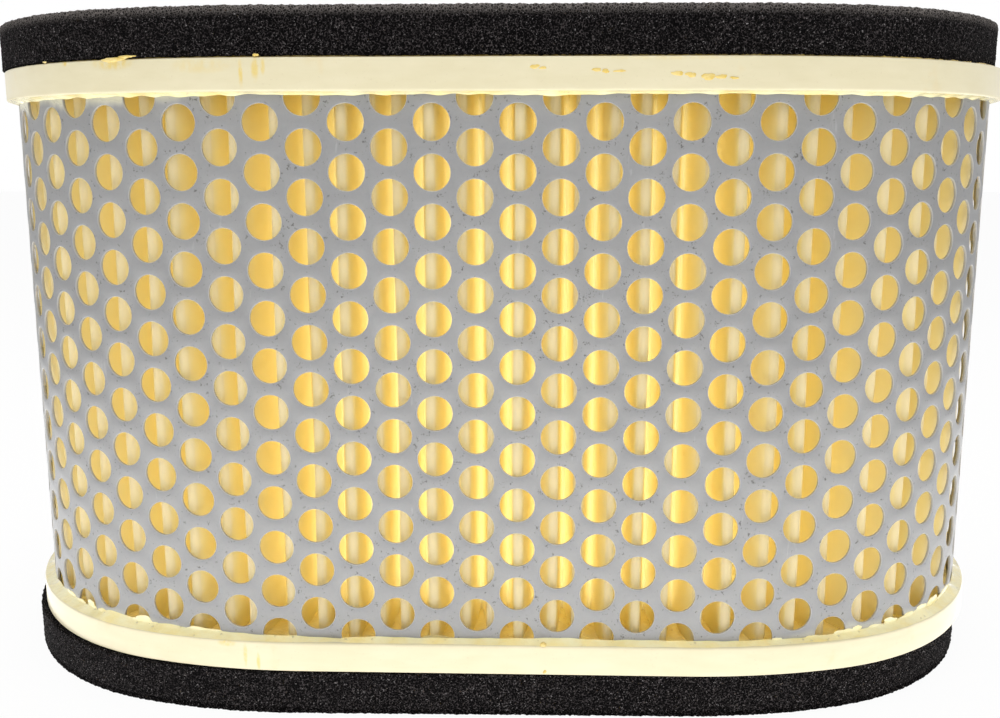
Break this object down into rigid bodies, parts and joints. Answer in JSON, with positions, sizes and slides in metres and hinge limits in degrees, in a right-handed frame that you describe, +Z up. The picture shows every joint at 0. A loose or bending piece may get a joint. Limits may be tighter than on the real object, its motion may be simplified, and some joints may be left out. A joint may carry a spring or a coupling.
{
  "type": "air filter element",
  "caption": "Oval pleated-paper air filter element in a perforated steel wrap, glued between moulded ring caps with a foam gasket on each end.",
  "frame": {"origin": "bottom centre of the element, on the lower seal face", "axes": "+X along the length of the oval, +Y to the back, +Z up along the bore"},
  "size_m": [0.1936, 0.1024, 0.12],
  "materials": {
    "foam": "matte",
    "plastic": "gloss",
    "glue": "gloss",
    "steel": "satin",
    "paper": "matte",
    "wire": "satin"
  },
  "bodies": {
    "root": {"lower_foam_gasket": "foam", "lower_gasket_glue": "glue", "lower_end_cap": "plastic", "lower_potting": "glue", "lower_outer_bead": "glue", "lower_inner_bead": "glue", "upper_foam_gasket": "foam", "upper_gasket_glue": "glue", "upper_end_cap": "plastic", "upper_potting": "glue", "upper_outer_bead": "glue", "upper_inner_bead": "glue", "outer_screen_front": "steel", "outer_screen_back": "steel", "pleated_paper": "paper", "pleat_seam_clip": "wire", "inner_wire_mesh": "wire"}
  },
  "joints": []
}
